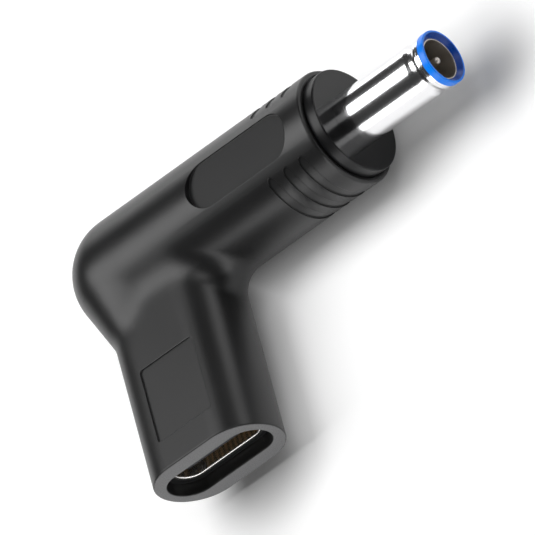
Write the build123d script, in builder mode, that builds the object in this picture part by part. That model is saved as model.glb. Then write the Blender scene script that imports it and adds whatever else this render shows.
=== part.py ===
from build123d import *
from math import asin, atan2, cos, degrees, pi, radians, sin, sqrt
import os

# Right-angle adapter: a USB-C socket at the end of a flat arm feeds a barrel plug at the end of a round arm.
# X runs along the barrel plug, out of its tip, and Y runs along the flat arm, away from the socket.
# The origin is on the plug's axis, at the shoulder face that meets the mating jack.

# Barrel plug, from its shoulder outwards
barrel_radius = 2.25
barrel_length = 9.7
barrel_wall = 0.28
barrel_root_radius = 2.45
barrel_root_setback = 0.1
neck_radius = 2.09
neck_start = 7.6
neck_length = 0.35
neck_slope = 0.35
bead_line_start = 8.85
bead_line_width = 0.08
bead_line_depth = 0.06
tip_ring_length = 0.6
tip_ring_radius = 2.27
tip_ring_bore_radius = 1.8
tip_ring_round = 0.08
insulator_wall = 0.2
insulator_tail = 0.6
inner_sleeve_wall = 0.24
inner_sleeve_setback = 0.4
inner_sleeve_tail = 0.6
sleeve_tab_length = 2.2
sleeve_tab_angle = 80.0
holder_length = 6.4
pin_radius = 0.3
pin_setback = 0.5
pin_tip_round = 0.25
pin_tail_length = 2.2
slide_gap = 0.02

# Plug body: the shoulder disc and the ribbed stem that the housing grips
shoulder_step = 0.5
shoulder_length = 1.0
shoulder_round = 0.12
stem_length = 4.2
stem_clear = 0.45
stem_rib_bite = 0.1
stem_rib_length = 0.8
stem_rib_count = 2
sleeve_flange_radius = 2.9
sleeve_flange_length = 0.5
lug_thickness = 0.3
lug_width = 1.8
lug_length = 3.2

# Round arm of the housing and the elbow
arm_radius = 4.9
plug_reach = 20.95
elbow_setback = 3.0
housing_wall = 1.1
arm_end_round = 0.25
end_groove_width = 0.1
end_groove_depth = 0.2

# Flat arm of the housing, down to the face of the socket, and the cheek that tapers into it
flat_arm_width = 11.75
flat_arm_thickness = 7.0
flat_arm_reach = 18.5
face_edge_round = 0.14
cheek_end_radius = 3.3
cheek_end_shift = 0.12
cheek_overrun = 0.7
blend_radius = 2.4

# Oval recess on the round arm, grip slots round its sides, and square panel on the flat arm
oval_length = 10.7
oval_width = 3.8
oval_centre = 12.65
oval_depth = 0.5
slot_width = 0.8
slot_depth = 0.12
slot_half_height = 4.1
slot_pitch = 1.65
slot_count = 3
slot_first = 14.8
panel_width = 5.65
panel_height = 6.32
panel_top = 9.78
panel_shift = 0.37
panel_depth = 0.16
panel_corner = 0.25

# Socket: the mouth in the housing, the steel shell, and the contact tongue
mouth_width = 10.0
mouth_height = 3.9
mouth_edge_round = 0.12
shell_width = 8.94
shell_height = 3.16
shell_wall = 0.3
shell_length = 7.35
shell_setback = 1.15
shell_edge_round = 0.1
shell_leg_length = 1.7
shell_leg_height = 1.5
base_length = 1.1
tongue_width = 6.69
tongue_thickness = 0.7
tongue_setback = 0.2
tongue_nose = 0.15
band_length = 1.0
band_wall = 0.12
plate_width = 6.95
plate_thickness = 0.15
plate_setback = 0.3
plate_notch_depth = 0.4
plate_notch_length = 0.9
plate_notch_setback = 1.8
contact_count = 12
contact_pitch = 0.5
contact_width = 0.25
contact_thickness = 0.15
contact_front_gap = 0.25
contact_short_step = 0.3
contact_long_places = (0, 3, 8, 11)
contact_bend_start = 0.3
contact_bend_length = 0.4
contact_tail_length = 1.2

# Circuit board and what is soldered to it
board_thickness = 0.8
board_front_gap = 0.6
board_back = 1.6
board_corner = 0.4
chip_size = 2.8
chip_height = 0.75
chip_edge = 0.08
chip_place = (0.9, -6.2)
switch_size = 2.4
switch_place = (1.2, -6.0)
capacitor_length = 1.6
capacitor_width = 0.8
capacitor_column = -2.4
capacitor_pitch = 1.25
capacitor_count = 3
capacitor_first = -7.4
resistor_length = 1.0
resistor_width = 0.5
resistor_height = 0.35
resistor_column = -2.2
resistor_pitch = 0.9
resistor_count = 4
resistor_first = -7.6

# Wires from the board to the plug, and their solder
core_radius = 0.25
core_gap = 0.03
jacket_radius = 0.44
jacket_clear = 0.6
core_overlap = 1.2
board_edge_clear = 0.25
pad_reach = 1.4
positive_turn = 1.6
positive_bend = 2.0
sense_turn = -0.8
sense_bend = 1.0
solder_radius = 0.5

# Inner moulding round the electronics
inner_flat_wall = 1.05
inner_shell_grip = 2.0

# Places that follow from the sizes above
elbow_x = -plug_reach
arm_end_x = -shoulder_length
stem_end_x = arm_end_x - stem_length
ring_back_x = barrel_length - tip_ring_length
neck_end = neck_start + neck_slope + neck_length + neck_slope
barrel_bore_radius = barrel_radius - barrel_wall
insulator_radius = barrel_bore_radius - slide_gap
insulator_bore_radius = insulator_radius - insulator_wall
inner_sleeve_radius = insulator_bore_radius - slide_gap
inner_sleeve_bore_radius = inner_sleeve_radius - inner_sleeve_wall
holder_radius = inner_sleeve_bore_radius - slide_gap
inner_sleeve_front_x = barrel_length - inner_sleeve_setback
flange_back_x = stem_end_x - sleeve_flange_length
lug_back_x = flange_back_x - lug_thickness
lug_end_x = lug_back_x - lug_length
insulator_back_x = lug_back_x - insulator_tail
sleeve_back_x = insulator_back_x - inner_sleeve_tail
tab_end_x = sleeve_back_x - sleeve_tab_length
pin_tail_end_x = sleeve_back_x - pin_tail_length
ball_x = elbow_x - elbow_setback
flat_half = flat_arm_thickness / 2
cap_centre = flat_arm_width / 2 - flat_half
mouth_floor = flat_arm_reach - shell_setback
shell_back = mouth_floor - shell_length
base_front = shell_back + base_length
tongue_front = mouth_floor - tongue_setback
board_front = shell_back - board_front_gap
inner_flat_front = shell_back + inner_shell_grip
board_half = board_thickness / 2
board_width = shell_width - 2 * shell_wall - 2 * slide_gap
pin_tail_radius = board_half
core_level = board_half + core_gap + core_radius
jacket_start_x = min(tab_end_x, lug_end_x, pin_tail_end_x) - jacket_clear
core_start_x = tab_end_x + core_overlap
board_edge_x = elbow_x + board_width / 2
ground_row = -(sleeve_flange_radius - lug_thickness - core_gap - core_radius)
positive_row = sqrt((inner_sleeve_radius + core_gap + core_radius) ** 2 - core_level**2)
positive_x = elbow_x - positive_turn - positive_bend
sense_x = elbow_x - sense_turn - sense_bend
pad_end_y = -(board_back + pad_reach)
jacket_end_y = -(board_back - board_edge_clear)
inner_radius = arm_radius - housing_wall
shoulder_radius = arm_radius - shoulder_step
stem_radius = inner_radius - stem_clear
stem_rib_radius = inner_radius + stem_rib_bite
cheek_drop = arm_radius + cheek_overrun
inner_flat_width = flat_arm_width - 2 * inner_flat_wall
inner_flat_thickness = flat_arm_thickness - 2 * inner_flat_wall
cut_clear = 1.0


def flat_arm_plane(distance):
    """Return the plane across the flat arm at a distance from the plug's axis, facing out of the socket."""
    return Plane.XZ.move(Location((elbow_x, 0, 0))).offset(distance)


def turned(points):
    """Turn the outline through points given as (x, radius) about the plug's axis."""
    with BuildSketch(Plane.XY) as profile:
        with BuildLine():
            Polyline(*points, close=True)
        make_face()
    revolve(profile.sketch, axis=Axis.X)


def disc(start_x, end_x, radius):
    """Fill a round bar between two places on the plug's axis."""
    with BuildSketch(Plane.YZ.offset(start_x)) as profile:
        Circle(radius)
    extrude(profile.sketch, amount=end_x - start_x)


def ball_ended_bar(radius, end_x):
    """Turn a round bar from the ball end at the elbow to a flat end."""
    with BuildSketch(Plane.XY) as profile:
        with BuildLine():
            Polyline((ball_x - radius, 0), (end_x, 0), (end_x, radius), (ball_x, radius))
            RadiusArc((ball_x, radius), (ball_x - radius, 0), -radius)
        make_face()
    revolve(profile.sketch, axis=Axis.X)


def flat_bar(width, height, start, end):
    """Run a full-round section along the flat arm between two distances from the plug's axis."""
    with BuildSketch(flat_arm_plane(start)) as profile:
        SlotOverall(width, height)
    extrude(profile.sketch, amount=end - start)


# Plug body: a shoulder disc outside the housing and a stem with locking ribs inside it.
def ribbed_stem(inner_radius_at_axis):
    """Turn the stem and its ribs, down to a radius that is zero for a filled stem."""
    rib_pitch = stem_length / stem_rib_count
    with BuildSketch(Plane.XY) as profile:
        with Locations((arm_end_x, inner_radius_at_axis)):
            Rectangle(stem_length, stem_radius - inner_radius_at_axis, align=(Align.MAX, Align.MIN))
        for rib in range(stem_rib_count):
            with Locations((arm_end_x - rib_pitch * (rib + 0.5), inner_radius_at_axis)):
                Rectangle(
                    stem_rib_length,
                    stem_rib_radius - inner_radius_at_axis,
                    align=(Align.CENTER, Align.MIN),
                )
    revolve(profile.sketch, axis=Axis.X)


with BuildPart() as plug_body:
    ribbed_stem(barrel_root_radius)
    with BuildSketch(Plane.YZ.offset(arm_end_x)):
        Circle(shoulder_radius)
        Circle(barrel_root_radius, mode=Mode.SUBTRACT)
    extrude(amount=shoulder_length - barrel_root_setback)
    with BuildSketch(Plane.YZ.offset(-barrel_root_setback)):
        Circle(shoulder_radius)
        Circle(barrel_radius, mode=Mode.SUBTRACT)
    extrude(amount=barrel_root_setback)
    fillet(plug_body.edges().group_by(Axis.X)[-1].sort_by(SortBy.LENGTH)[-1], shoulder_round)
plug_body.part.label = "plug_body"

# Outer sleeve: the bright barrel with its neck behind the tip, its thicker root, and a flange behind the stem.
with BuildPart() as outer_sleeve:
    turned(
        [
            (stem_end_x, barrel_root_radius),
            (-barrel_root_setback, barrel_root_radius),
            (-barrel_root_setback, barrel_radius),
            (neck_start, barrel_radius),
            (neck_start + neck_slope, neck_radius),
            (neck_start + neck_slope + neck_length, neck_radius),
            (neck_end, barrel_radius),
            (bead_line_start, barrel_radius),
            (bead_line_start + bead_line_width / 2, barrel_radius - bead_line_depth),
            (bead_line_start + bead_line_width, barrel_radius),
            (ring_back_x, barrel_radius),
            (ring_back_x, barrel_bore_radius),
            (flange_back_x, barrel_bore_radius),
            (flange_back_x, sleeve_flange_radius),
            (stem_end_x, sleeve_flange_radius),
        ]
    )
outer_sleeve.part.label = "outer_sleeve"

# Ground lug: a washer behind the sleeve's flange with a tab for the ground wire.
with BuildPart() as ground_lug:
    with BuildSketch(Plane.YZ.offset(lug_back_x)):
        Circle(sleeve_flange_radius)
        Circle(barrel_bore_radius, mode=Mode.SUBTRACT)
    extrude(amount=lug_thickness)
    with BuildSketch(Plane.YZ.offset(lug_end_x)):
        with Locations((-sleeve_flange_radius, 0)):
            Rectangle(lug_thickness, lug_width, align=(Align.MIN, Align.CENTER))
    extrude(amount=flange_back_x - lug_end_x)
ground_lug.part.label = "ground_lug"

# Tip insulator: the blue ring at the tip is the rim of a thin tube between the two sleeves.
with BuildPart() as tip_insulator:
    turned(
        [
            (insulator_back_x, insulator_radius),
            (ring_back_x, insulator_radius),
            (ring_back_x, tip_ring_radius),
            (barrel_length, tip_ring_radius),
            (barrel_length, tip_ring_bore_radius),
            (inner_sleeve_front_x + slide_gap, tip_ring_bore_radius),
            (inner_sleeve_front_x + slide_gap, insulator_bore_radius),
            (insulator_back_x, insulator_bore_radius),
        ]
    )
    fillet(tip_insulator.edges().group_by(Axis.X)[-1], tip_ring_round)
tip_insulator.part.label = "tip_insulator"

# Inner sleeve: the contact inside the barrel, with a part-round tab behind it for the positive wire.
tab_middle = degrees(atan2(core_level, positive_row))
tab_start = radians(tab_middle - sleeve_tab_angle / 2)
tab_plane = Plane(origin=(0, 0, 0), x_dir=(1, 0, 0), z_dir=(0, -sin(tab_start), cos(tab_start)))
with BuildPart() as inner_sleeve:
    turned(
        [
            (sleeve_back_x, inner_sleeve_bore_radius),
            (sleeve_back_x, inner_sleeve_radius),
            (inner_sleeve_front_x, inner_sleeve_radius),
            (inner_sleeve_front_x, inner_sleeve_bore_radius),
        ]
    )
    with BuildSketch(tab_plane):
        with Locations((sleeve_back_x, inner_sleeve_bore_radius)):
            Rectangle(sleeve_tab_length, inner_sleeve_wall, align=(Align.MAX, Align.MIN))
    revolve(axis=Axis.X, revolution_arc=sleeve_tab_angle)
inner_sleeve.part.label = "inner_sleeve"

# Pin holder and centre pin
with BuildPart() as pin_holder:
    with BuildSketch(Plane.YZ.offset(sleeve_back_x)):
        Circle(holder_radius)
        Circle(pin_radius, mode=Mode.SUBTRACT)
    extrude(amount=holder_length)
pin_holder.part.label = "pin_holder"

with BuildPart() as centre_pin:
    disc(sleeve_back_x, barrel_length - pin_setback, pin_radius)
    fillet(centre_pin.edges().group_by(Axis.X)[-1], pin_tip_round)
    disc(pin_tail_end_x, sleeve_back_x, pin_tail_radius)
centre_pin.part.label = "centre_pin"

# Socket shell: a drawn steel tube with full-round sides and two legs that clasp the circuit board.
with BuildPart() as socket_shell:
    with BuildSketch(flat_arm_plane(shell_back)):
        SlotOverall(shell_width, shell_height)
        SlotOverall(
            shell_width - 2 * shell_wall,
            shell_height - 2 * shell_wall,
            mode=Mode.SUBTRACT,
        )
    extrude(amount=shell_length)
    fillet(socket_shell.edges().group_by(Axis.Y)[0], shell_edge_round)
    leg_reach = (shell_width - shell_wall) / 2
    with BuildSketch(flat_arm_plane(shell_back)):
        with Locations((-leg_reach, 0), (leg_reach, 0)):
            Rectangle(shell_wall, shell_leg_height)
    extrude(amount=-shell_leg_length)
socket_shell.part.label = "socket_shell"


# Contacts: twelve above and twelve below the tongue, with the power contacts reaching further forward.
def contact_row(side):
    """Make one row of contacts; side is 1 above the tongue and -1 below it."""
    outer = tongue_thickness / 2
    inner = outer - contact_thickness
    tail_inner = board_half
    tail_outer = board_half + contact_thickness
    bend_back = contact_bend_start - contact_bend_length
    for number in range(contact_count):
        step = 0 if number in contact_long_places else contact_short_step
        front = -(tongue_front - contact_front_gap - step)
        tail = -(board_front - contact_tail_length)
        x = elbow_x + (number - (contact_count - 1) / 2) * contact_pitch
        with BuildSketch(Plane.YZ.offset(x - contact_width / 2)) as profile:
            with BuildLine():
                Polyline(
                    (front, side * inner),
                    (front, side * outer),
                    (-shell_back - contact_bend_start, side * outer),
                    (-shell_back - bend_back, side * tail_outer),
                    (tail, side * tail_outer),
                    (tail, side * tail_inner),
                    (-shell_back - bend_back + slide_gap, side * tail_inner),
                    (-shell_back - contact_bend_start + slide_gap, side * inner),
                    close=True,
                )
            make_face()
        extrude(profile.sketch, amount=contact_width)


with BuildPart() as upper_contacts:
    contact_row(1)
upper_contacts.part.label = "upper_contacts"

with BuildPart() as lower_contacts:
    contact_row(-1)
lower_contacts.part.label = "lower_contacts"


# Middle plate of the tongue, with the notches that a plug's latches catch
def latch_notches():
    """Cut the two latch notches in the sides of the tongue or its plate."""
    notch_middle = -(tongue_front - plate_notch_setback - plate_notch_length / 2)
    with BuildSketch(Plane.XY.offset(-tongue_thickness)) as profile:
        for side in (-1, 1):
            with Locations((elbow_x + side * plate_width / 2, notch_middle)):
                Rectangle(2 * plate_notch_depth, plate_notch_length)
    extrude(profile.sketch, amount=2 * tongue_thickness, mode=Mode.SUBTRACT)


with BuildPart() as middle_plate:
    plate_length = tongue_front - plate_setback - shell_back
    with BuildSketch(Plane.XY.offset(-plate_thickness / 2)):
        with Locations((elbow_x, -shell_back - plate_length / 2)):
            Rectangle(plate_width, plate_length)
    extrude(amount=plate_thickness)
    latch_notches()
middle_plate.part.label = "middle_plate"

# Contact carrier: the moulded base that fills the shell's back, and the tongue.
with BuildPart() as contact_carrier:
    base_width = shell_width - 2 * shell_wall - 2 * slide_gap
    base_height = shell_height - 2 * shell_wall - 2 * slide_gap
    flat_bar(base_width, base_height, shell_back, base_front)
    with BuildSketch(flat_arm_plane(base_front)):
        Rectangle(tongue_width, tongue_thickness)
    extrude(amount=tongue_front - base_front)
    nose_edges = contact_carrier.edges().group_by(Axis.Y)[0]
    chamfer(nose_edges, tongue_nose)
    latch_notches()
    add(middle_plate.part, mode=Mode.SUBTRACT)
    add(upper_contacts.part, mode=Mode.SUBTRACT)
    add(lower_contacts.part, mode=Mode.SUBTRACT)
contact_carrier.part.label = "contact_carrier"

# Ground band: two thin steel halves round the root of the tongue.
with BuildPart() as ground_band:
    with BuildSketch(flat_arm_plane(base_front)):
        Rectangle(tongue_width + 2 * band_wall, tongue_thickness + 2 * band_wall)
        Rectangle(tongue_width, tongue_thickness, mode=Mode.SUBTRACT)
        Rectangle(plate_width, plate_thickness, mode=Mode.SUBTRACT)
    extrude(amount=band_length)
ground_band.part.label = "ground_band"

# Circuit board, clasped between the shell's legs
with BuildPart() as circuit_board:
    board_length = board_front - board_back
    with BuildSketch(Plane.XY.offset(-board_half)):
        with Locations((elbow_x, -(board_front + board_back) / 2)):
            RectangleRounded(board_width, board_length, board_corner)
    extrude(amount=board_thickness)
circuit_board.part.label = "circuit_board"

with BuildPart() as trigger_chip:
    with BuildSketch(Plane.XY.offset(board_half)):
        with Locations((elbow_x + chip_place[0], chip_place[1])):
            Rectangle(chip_size, chip_size)
    extrude(amount=chip_height)
    chamfer(trigger_chip.faces().sort_by(Axis.Z)[-1].edges(), chip_edge)
trigger_chip.part.label = "trigger_chip"

with BuildPart() as switch_chip:
    with BuildSketch(Plane.XY.offset(-board_half)):
        with Locations((elbow_x + switch_place[0], switch_place[1])):
            Rectangle(switch_size, switch_size)
    extrude(amount=-chip_height)
    chamfer(switch_chip.faces().sort_by(Axis.Z)[0].edges(), chip_edge)
switch_chip.part.label = "switch_chip"

with BuildPart() as capacitors:
    with BuildSketch(Plane.XY.offset(board_half)):
        for number in range(capacitor_count):
            with Locations((elbow_x + capacitor_column, capacitor_first + number * capacitor_pitch)):
                Rectangle(capacitor_length, capacitor_width)
    extrude(amount=capacitor_width)
capacitors.part.label = "capacitors"

with BuildPart() as resistors:
    with BuildSketch(Plane.XY.offset(-board_half)):
        for number in range(resistor_count):
            with Locations((elbow_x + resistor_column, resistor_first + number * resistor_pitch)):
                Rectangle(resistor_length, resistor_width)
    extrude(amount=-resistor_height)
resistors.part.label = "resistors"


# Wires: a straight ground wire, and two that turn down onto the board.
def straight_bar(start_x, end_x, row, level, radius):
    """Fill a round bar along the plug's axis direction at a row and level."""
    with BuildSketch(Plane.YZ.offset(start_x)) as profile:
        with Locations((row, level)):
            Circle(radius)
    extrude(profile.sketch, amount=end_x - start_x)


def turned_wire(start_x, end_y, row, level, column, bend, radius):
    """Sweep a round section from the plug, along its axis, round one bend and down the flat arm."""
    with BuildLine() as route:
        Line((start_x, row, level), (column + bend, row, level))
        TangentArc(
            (column + bend, row, level),
            (column, row - bend, level),
            tangent=(-1, 0, 0),
        )
        Line((column, row - bend, level), (column, end_y, level))
    with BuildSketch(Plane(origin=(start_x, row, level), x_dir=(0, 1, 0), z_dir=(-1, 0, 0))) as profile:
        Circle(radius)
    sweep(profile.sketch, path=route.wire())


with BuildPart() as ground_wire_core:
    straight_bar(board_edge_x - pad_reach, core_start_x, ground_row, core_level, core_radius)
ground_wire_core.part.label = "ground_wire_core"

with BuildPart() as ground_wire_jacket:
    straight_bar(board_edge_x + board_edge_clear, jacket_start_x, ground_row, core_level, jacket_radius)
    add(ground_wire_core.part, mode=Mode.SUBTRACT)
ground_wire_jacket.part.label = "ground_wire_jacket"

with BuildPart() as positive_wire_core:
    turned_wire(core_start_x, pad_end_y, positive_row, core_level, positive_x, positive_bend, core_radius)
positive_wire_core.part.label = "positive_wire_core"

with BuildPart() as positive_wire_jacket:
    turned_wire(
        jacket_start_x,
        jacket_end_y,
        positive_row,
        core_level,
        positive_x,
        positive_bend,
        jacket_radius,
    )
    add(positive_wire_core.part, mode=Mode.SUBTRACT)
positive_wire_jacket.part.label = "positive_wire_jacket"

with BuildPart() as sense_wire_core:
    turned_wire(core_start_x, pad_end_y, 0, -core_level, sense_x, sense_bend, core_radius)
sense_wire_core.part.label = "sense_wire_core"

with BuildPart() as sense_wire_jacket:
    turned_wire(jacket_start_x, jacket_end_y, 0, -core_level, sense_x, sense_bend, jacket_radius)
    add(sense_wire_core.part, mode=Mode.SUBTRACT)
sense_wire_jacket.part.label = "sense_wire_jacket"

# Solder at both ends of each wire
joint_x = tab_end_x + core_overlap / 2
pad_y = -(board_back + pad_reach / 2)
solder_places = (
    (joint_x, ground_row, core_level),
    (joint_x, positive_row, core_level),
    (joint_x, 0, -core_level),
    (board_edge_x - pad_reach / 2, ground_row, core_level),
    (positive_x, pad_y, core_level),
    (sense_x, pad_y, -core_level),
)
with BuildPart() as solder_joints:
    with Locations(*solder_places):
        Sphere(solder_radius)
    for neighbour in (
        ground_wire_core,
        positive_wire_core,
        sense_wire_core,
        ground_lug,
        inner_sleeve,
        centre_pin,
        circuit_board,
    ):
        add(neighbour.part, mode=Mode.SUBTRACT)
solder_joints.part.label = "solder_joints"


# Inner moulding: it fills the housing round the board, the wires and the back of the plug.
def inner_form():
    """Fill the form that the inner moulding and the cavity of the housing share."""
    ball_ended_bar(inner_radius, stem_end_x)
    flat_bar(inner_flat_width, inner_flat_thickness, 0, inner_flat_front)


with BuildPart() as cavity:
    inner_form()
    ribbed_stem(0)
    flat_bar(shell_width, shell_height, inner_flat_front, mouth_floor)

with BuildPart() as tube_ends:
    flat_bar(shell_width, shell_height, shell_back, inner_flat_front)
    disc(lug_back_x, stem_end_x, sleeve_flange_radius)
    disc(insulator_back_x, lug_back_x, insulator_radius)
    disc(sleeve_back_x, insulator_back_x, inner_sleeve_radius)

with BuildPart() as inner_moulding:
    inner_form()
    add(tube_ends.part, mode=Mode.SUBTRACT)
    for neighbour in (
        ground_lug,
        inner_sleeve,
        centre_pin,
        socket_shell,
        upper_contacts,
        lower_contacts,
        circuit_board,
        trigger_chip,
        switch_chip,
        capacitors,
        resistors,
        ground_wire_core,
        ground_wire_jacket,
        positive_wire_core,
        positive_wire_jacket,
        sense_wire_core,
        sense_wire_jacket,
        solder_joints,
    ):
        add(neighbour.part, mode=Mode.SUBTRACT)
inner_moulding.part.label = "inner_moulding"

# Housing: a turned round arm with a ball end, a flat arm with full-round edges, and a cheek between them.
ball_centre = Vector(ball_x, 0, 0)
cheek_centre = Vector(elbow_x - cap_centre - cheek_end_shift, -cheek_drop, 0)
cheek_run = (cheek_centre - ball_centre).length
cheek_along = (cheek_centre - ball_centre).normalized()
cheek_across = Vector(cheek_along.Y, -cheek_along.X, 0)
cheek_angle = asin((arm_radius - cheek_end_radius) / cheek_run)


def cheek_point(centre_distance, radius, angle):
    """Return a point of the cheek's outline, at an angle from straight across its own axis."""
    along = centre_distance + radius * sin(angle)
    place = ball_centre + cheek_along * along + cheek_across * (radius * cos(angle))
    return (place.X, place.Y)


# Grip slots: cut from the sides, as deep all round, and rounded at both ends.
with BuildPart() as grip_cutter:
    slots_length = slot_pitch * slot_count
    with BuildSketch(Plane.YZ.offset(elbow_x + slot_first - slot_pitch / 2)):
        Circle(arm_radius + cut_clear)
        Circle(arm_radius - slot_depth, mode=Mode.SUBTRACT)
    extrude(amount=slots_length)
    with BuildSketch(Plane.XZ):
        for number in range(slot_count):
            with Locations((elbow_x + slot_first + number * slot_pitch, 0)):
                SlotOverall(2 * slot_half_height, slot_width, rotation=90)
    extrude(amount=arm_radius + 2 * cut_clear, both=True, mode=Mode.INTERSECT)

with BuildPart() as housing:
    ball_ended_bar(arm_radius, arm_end_x)
    fillet(housing.edges().filter_by(GeomType.CIRCLE).group_by(Axis.X)[-1], arm_end_round)
    flat_bar(flat_arm_width, flat_arm_thickness, 0, flat_arm_reach)

    with BuildSketch(Plane.XY):
        with BuildLine():
            ThreePointArc(
                cheek_point(0, arm_radius, -pi / 2),
                cheek_point(0, arm_radius, (cheek_angle - pi / 2) / 2),
                cheek_point(0, arm_radius, cheek_angle),
            )
            Line(
                cheek_point(0, arm_radius, cheek_angle),
                cheek_point(cheek_run, cheek_end_radius, cheek_angle),
            )
            ThreePointArc(
                cheek_point(cheek_run, cheek_end_radius, cheek_angle),
                cheek_point(cheek_run, cheek_end_radius, (cheek_angle + pi / 2) / 2),
                cheek_point(cheek_run, cheek_end_radius, pi / 2),
            )
            Line(
                cheek_point(cheek_run, cheek_end_radius, pi / 2),
                cheek_point(0, arm_radius, -pi / 2),
            )
        make_face()
    revolve(axis=Axis(ball_centre, cheek_along))

    # The inner corner and the step down to the flat arm are one soft blend.
    fillet(
        [
            edge
            for edge in housing.edges()
            if edge.geom_type != GeomType.CIRCLE
            and -cheek_drop - cheek_end_radius / 2 < edge.center().Y < -flat_half / 2
            and abs(edge.center().X - elbow_x) < flat_arm_width / 2 + slide_gap
        ],
        blend_radius,
    )
    fillet(housing.edges().group_by(Axis.Y)[0], face_edge_round)

    # Oval recess, panel and grip slots
    with BuildSketch(Plane.XY.offset(arm_radius - oval_depth)):
        with Locations((elbow_x + oval_centre, 0)):
            SlotOverall(oval_length, oval_width)
    extrude(amount=oval_depth + cut_clear, mode=Mode.SUBTRACT)
    with BuildSketch(Plane.XY.offset(flat_half - panel_depth)):
        with Locations((elbow_x + panel_shift, -panel_top - panel_height / 2)):
            RectangleRounded(panel_width, panel_height, panel_corner)
    extrude(amount=panel_depth + cut_clear, mode=Mode.SUBTRACT)
    add(grip_cutter.part, mode=Mode.SUBTRACT)

    # Mouth of the socket, with a rounded rim
    with BuildSketch(flat_arm_plane(mouth_floor)):
        SlotOverall(mouth_width, mouth_height)
    extrude(amount=shell_setback, mode=Mode.SUBTRACT)
    mouth_face = housing.faces().sort_by(Axis.Y)[0]
    fillet(mouth_face.inner_wires()[0].edges(), mouth_edge_round)

    # Groove where the shoulder disc meets the end of the arm
    with BuildSketch(Plane.YZ.offset(arm_end_x - end_groove_depth)):
        Circle(shoulder_radius + end_groove_width)
        Circle(shoulder_radius - end_groove_width, mode=Mode.SUBTRACT)
    extrude(amount=end_groove_depth, mode=Mode.SUBTRACT)
    add(cavity.part, mode=Mode.SUBTRACT)
housing.part.label = "housing"

os.makedirs("parts", exist_ok=True)
for piece in (
    housing,
    inner_moulding,
    plug_body,
    outer_sleeve,
    ground_lug,
    tip_insulator,
    inner_sleeve,
    pin_holder,
    centre_pin,
    socket_shell,
    contact_carrier,
    middle_plate,
    ground_band,
    upper_contacts,
    lower_contacts,
    circuit_board,
    trigger_chip,
    switch_chip,
    capacitors,
    resistors,
    ground_wire_core,
    ground_wire_jacket,
    positive_wire_core,
    positive_wire_jacket,
    sense_wire_core,
    sense_wire_jacket,
    solder_joints,
):
    export_step(piece.part, f"parts/{piece.part.label}.step")
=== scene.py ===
"""Looks of a right-angle adapter with a USB-C socket and a barrel plug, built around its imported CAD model."""

import logging
import math
from dataclasses import dataclass, field
from enum import Enum

import bmesh
import bpy
from mathutils import Matrix, Vector


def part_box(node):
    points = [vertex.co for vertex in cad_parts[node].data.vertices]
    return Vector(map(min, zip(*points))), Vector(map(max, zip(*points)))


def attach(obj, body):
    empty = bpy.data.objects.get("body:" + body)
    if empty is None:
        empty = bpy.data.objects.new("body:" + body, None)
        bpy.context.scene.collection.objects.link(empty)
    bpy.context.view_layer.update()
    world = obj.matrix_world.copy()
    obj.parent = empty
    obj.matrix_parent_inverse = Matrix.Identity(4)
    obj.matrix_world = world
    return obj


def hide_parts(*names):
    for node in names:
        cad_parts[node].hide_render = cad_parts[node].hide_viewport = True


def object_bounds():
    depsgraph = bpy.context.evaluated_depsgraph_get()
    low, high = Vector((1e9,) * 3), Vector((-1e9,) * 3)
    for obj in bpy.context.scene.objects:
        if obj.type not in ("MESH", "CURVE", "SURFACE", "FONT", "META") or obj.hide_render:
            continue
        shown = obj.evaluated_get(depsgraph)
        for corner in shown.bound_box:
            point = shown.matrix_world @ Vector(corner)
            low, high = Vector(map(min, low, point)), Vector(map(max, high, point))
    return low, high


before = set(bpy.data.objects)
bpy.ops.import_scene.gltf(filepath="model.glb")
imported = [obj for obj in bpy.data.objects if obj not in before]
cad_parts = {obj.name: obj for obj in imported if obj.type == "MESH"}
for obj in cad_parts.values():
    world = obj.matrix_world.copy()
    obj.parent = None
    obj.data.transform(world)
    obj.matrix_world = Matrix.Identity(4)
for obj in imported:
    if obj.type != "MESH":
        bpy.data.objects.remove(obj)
CAD_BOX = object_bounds()

MM = 0.001
MICRON = 0.000001
BODY = "root"
NOISE_ROUGHNESS = 0.55
NOISE_RANGE = (0.3, 0.7)
SMOOTHEST = 0.02
COAT_ROUGHNESS = 0.12
BEVEL_SAMPLES = 8
MERGE_DISTANCE = 0.01 * MICRON

log = logging.getLogger("adapter")

Colour = tuple[float, float, float]
Point = tuple[float, float, float]
Socket = bpy.types.NodeSocket


class Grain(Enum):
    """Direction in which a surface's fine texture runs, as the stretch of its noise along X, Y and Z."""

    EVEN = (1.0, 1.0, 1.0)
    TURNED = (1.0, 0.04, 0.04)
    DRAWN = (1.0, 0.06, 1.0)
    ROLLED = (0.08, 1.0, 1.0)


class Blend(Enum):
    """What a Mix node blends, as the numbers of its share, its two inputs and its output."""

    FLOAT = (0, 2, 3, 0)
    RGBA = (0, 6, 7, 2)


class NodeBoard:
    """A node tree, with short ways to add and join nodes."""

    tree: bpy.types.NodeTree

    def add(self, kind: str, **settings: object) -> bpy.types.Node:
        """Add a node.

        Args:
            kind: The node's type name.
            settings: Attributes of the node.

        Returns:
            The new node.
        """
        node = self.tree.nodes.new(kind)
        for name, value in settings.items():
            setattr(node, name, value)
        return node

    def join(self, start: Socket, end: Socket) -> None:
        """Link one socket to another."""
        self.tree.links.new(start, end)

    def feed(self, value: object, end: Socket) -> None:
        """Give a socket its value.

        Args:
            value: Another socket to link, or a constant.
            end: The socket that gets it.
        """
        if isinstance(value, Socket):
            self.join(value, end)
        else:
            end.default_value = value

    def maths(self, operation: str, first: Socket, second: Socket | float | None = None) -> Socket:
        """Add a maths node.

        Args:
            operation: The node's operation.
            first: Its first value.
            second: Its second value, where it has one.

        Returns:
            The result's socket.
        """
        node = self.add("ShaderNodeMath", operation=operation)
        self.join(first, node.inputs[0])
        if second is not None:
            self.feed(second, node.inputs[1])
        return node.outputs[0]


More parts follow.
